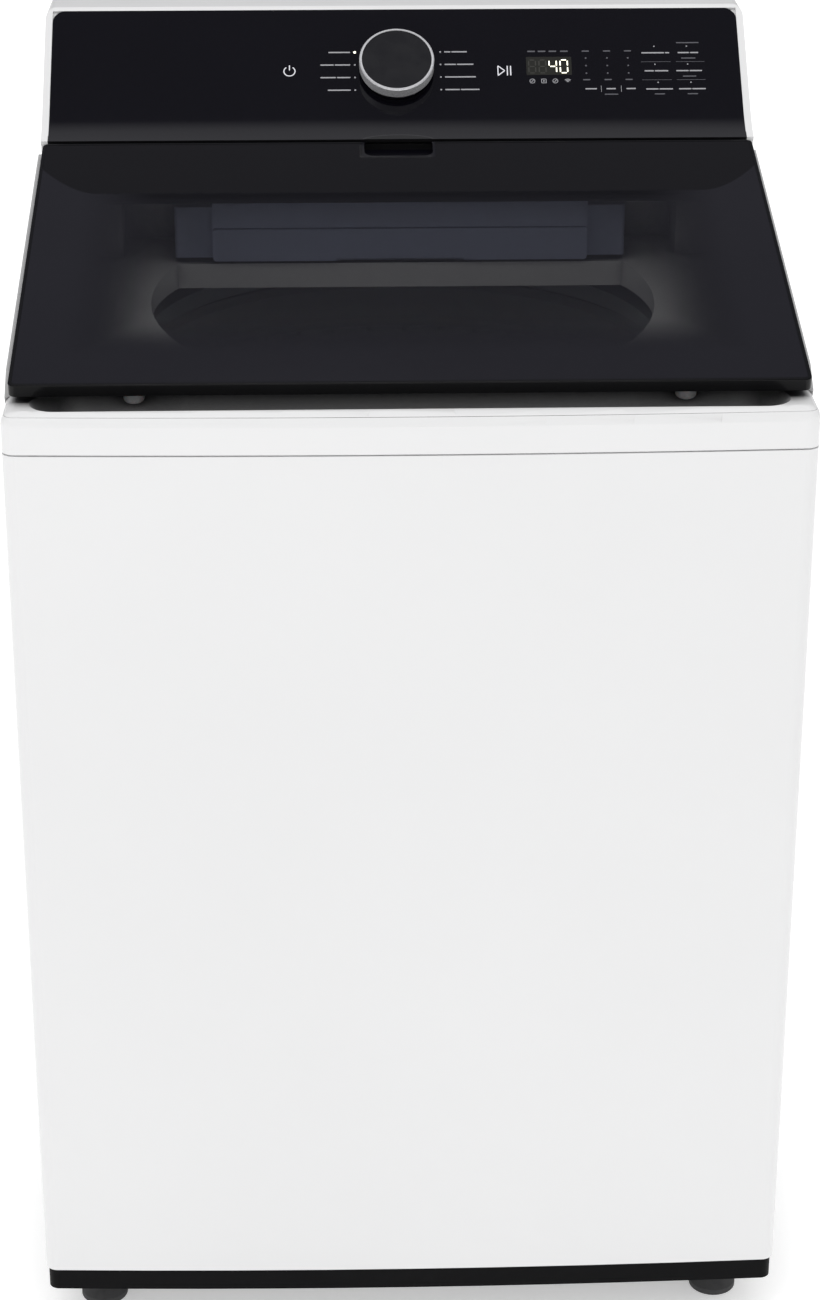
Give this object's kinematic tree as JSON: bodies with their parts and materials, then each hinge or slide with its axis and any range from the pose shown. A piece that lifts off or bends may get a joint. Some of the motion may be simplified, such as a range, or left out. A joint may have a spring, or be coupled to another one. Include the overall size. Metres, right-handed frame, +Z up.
{
  "type": "top load washing machine",
  "caption": "White top load washing machine with a sloping dark glass lid, black rear console with one rotary dial, sprung tub, spin basket and wash plate, on levelling feet.",
  "frame": {"origin": "on the floor, under the middle of the machine's bounding box", "axes": "+X to the viewer's right, the front faces -Y, +Z up"},
  "size_m": [0.686, 0.721, 1.13],
  "materials": {
    "white_paint": "satin baked enamel",
    "white_plastic": "satin moulded plastic",
    "galvanised": "galvanised sheet",
    "black_plastic": "moulded black plastic",
    "black_gloss": "polished piano black",
    "frame_steel": "black painted steel",
    "glass": "dark tempered glass",
    "silver": "turned bright metal",
    "dial_dark": "charcoal satin",
    "steel": "stainless sheet",
    "bright_steel": "machined steel",
    "aluminium": "die cast",
    "grey_plastic": "light grey moulded plastic",
    "drawer_plastic": "blue grey satin plastic",
    "tub_plastic": "milky polypropylene",
    "rubber": "moulded rubber",
    "clear_rubber": "translucent soft plastic",
    "board": "printed board",
    "copper_iron": "wound laminated iron",
    "magnet_steel": "pressed steel"
  },
  "bodies": {
    "cabinet": {"cabinet_wrap": "white_paint", "rear_panel": "galvanised", "base_frame": "frame_steel", "base_trim": "black_plastic", "corner_brackets": "galvanised", "top_cover": "white_plastic", "console_housing": "white_plastic", "console_fascia": "black_gloss", "console_rear_cover": "galvanised", "cord_gland": "black_plastic", "control_board": "board", "display_module": "black_plastic", "dial_encoder": "black_plastic", "inlet_valve_cold": "grey_plastic", "inlet_valve_hot": "grey_plastic", "fill_hoses": "rubber", "dispenser_housing": "grey_plastic", "dispenser_fascia": "drawer_plastic", "lid_hinge_brackets": "bright_steel", "lid_dampers": "grey_plastic", "lid_lock": "grey_plastic", "drain_outlet": "grey_plastic", "suspension_rods": "bright_steel", "pressure_sensor": "grey_plastic", "foot_lock_nuts": "bright_steel", "rear_screws": "bright_steel"},
    "lid": {"lid_frame": "black_gloss", "lid_glass": "glass", "lid_recess_cup": "black_gloss", "lid_hinge_pins": "bright_steel", "lid_bumpers": "clear_rubber", "lid_strike": "grey_plastic"},
    "dial": {"dial_cap": "dial_dark", "dial_ring": "silver", "dial_shaft": "bright_steel"},
    "detergent_drawer": {"drawer_front": "drawer_plastic", "drawer_tray": "grey_plastic"},
    "tub": {"outer_tub": "tub_plastic", "tub_cover": "tub_plastic", "bearing_housing": "aluminium", "bearings": "bright_steel", "stator": "copper_iron", "pump_housing": "grey_plastic", "pump_motor": "magnet_steel", "drain_hose": "rubber", "suspension_cups": "black_plastic", "suspension_springs": "bright_steel"},
    "basket": {"wash_basket": "steel", "balance_ring": "tub_plastic", "basket_hub": "aluminium", "spin_tube": "bright_steel"},
    "wash_drive": {"wash_plate": "tub_plastic", "wash_shaft": "bright_steel", "rotor": "magnet_steel"},
    "clutch": {"clutch_coupler": "bright_steel"},
    "pump_rotor": {"pump_impeller": "black_plastic"},
    "foot_fl": {"foot_front_left": "rubber"},
    "foot_fr": {"foot_front_right": "rubber"},
    "foot_rl": {"foot_rear_left": "rubber"},
    "foot_rr": {"foot_rear_right": "rubber"}
  },
  "joints": [
    {"name": "lid_hinge", "type": "hinge", "parent": "cabinet", "child": "lid", "pos_m": [0, 0.084, 1.012], "axis": [-1, 0, 0], "range_deg": [0, 105]},
    {"name": "dial_turn", "type": "hinge", "parent": "cabinet", "child": "dial", "pos_m": [0, 0.1669, 1.0791], "axis": [0, -0.6691, 0.7431], "continuous": true},
    {"name": "drawer_slide", "type": "slide", "parent": "cabinet", "child": "detergent_drawer", "axis": [0, -1, 0], "range_m": [0, 0.15]},
    {"name": "tub_bounce", "type": "slide", "parent": "cabinet", "child": "tub", "axis": [0, 0, 1], "range_m": [-0.014, 0.014], "stiffness_N_per_m": 24000, "springref_m": 0.01573, "deforming": ["suspension_springs", "drain_hose"]},
    {"name": "basket_spin", "type": "hinge", "parent": "tub", "child": "basket", "pos_m": [0, -0.01, 0.5], "axis": [0, 0, 1], "continuous": true},
    {"name": "wash_spin", "type": "hinge", "parent": "tub", "child": "wash_drive", "pos_m": [0, -0.01, 0.25], "axis": [0, 0, 1], "continuous": true},
    {"name": "clutch_shift", "type": "slide", "parent": "basket", "child": "clutch", "axis": [0, 0, -1], "range_m": [0, 0.005]},
    {"name": "pump_spin", "type": "hinge", "parent": "tub", "child": "pump_rotor", "pos_m": [-0.19, -0.15, 0.17], "axis": [0, 0, 1], "continuous": true},
    {"name": "foot_fl_turn", "type": "hinge", "parent": "cabinet", "child": "foot_fl", "pos_m": [-0.293, -0.2985, 0.03], "axis": [0, 0, 1], "continuous": true},
    {"name": "foot_fr_turn", "type": "hinge", "parent": "cabinet", "child": "foot_fr", "pos_m": [0.293, -0.2985, 0.03], "axis": [0, 0, 1], "continuous": true},
    {"name": "foot_rl_turn", "type": "hinge", "parent": "cabinet", "child": "foot_rl", "pos_m": [-0.293, 0.29, 0.03], "axis": [0, 0, 1], "continuous": true},
    {"name": "foot_rr_turn", "type": "hinge", "parent": "cabinet", "child": "foot_rr", "pos_m": [0.293, 0.29, 0.03], "axis": [0, 0, 1], "continuous": true}
  ]
}
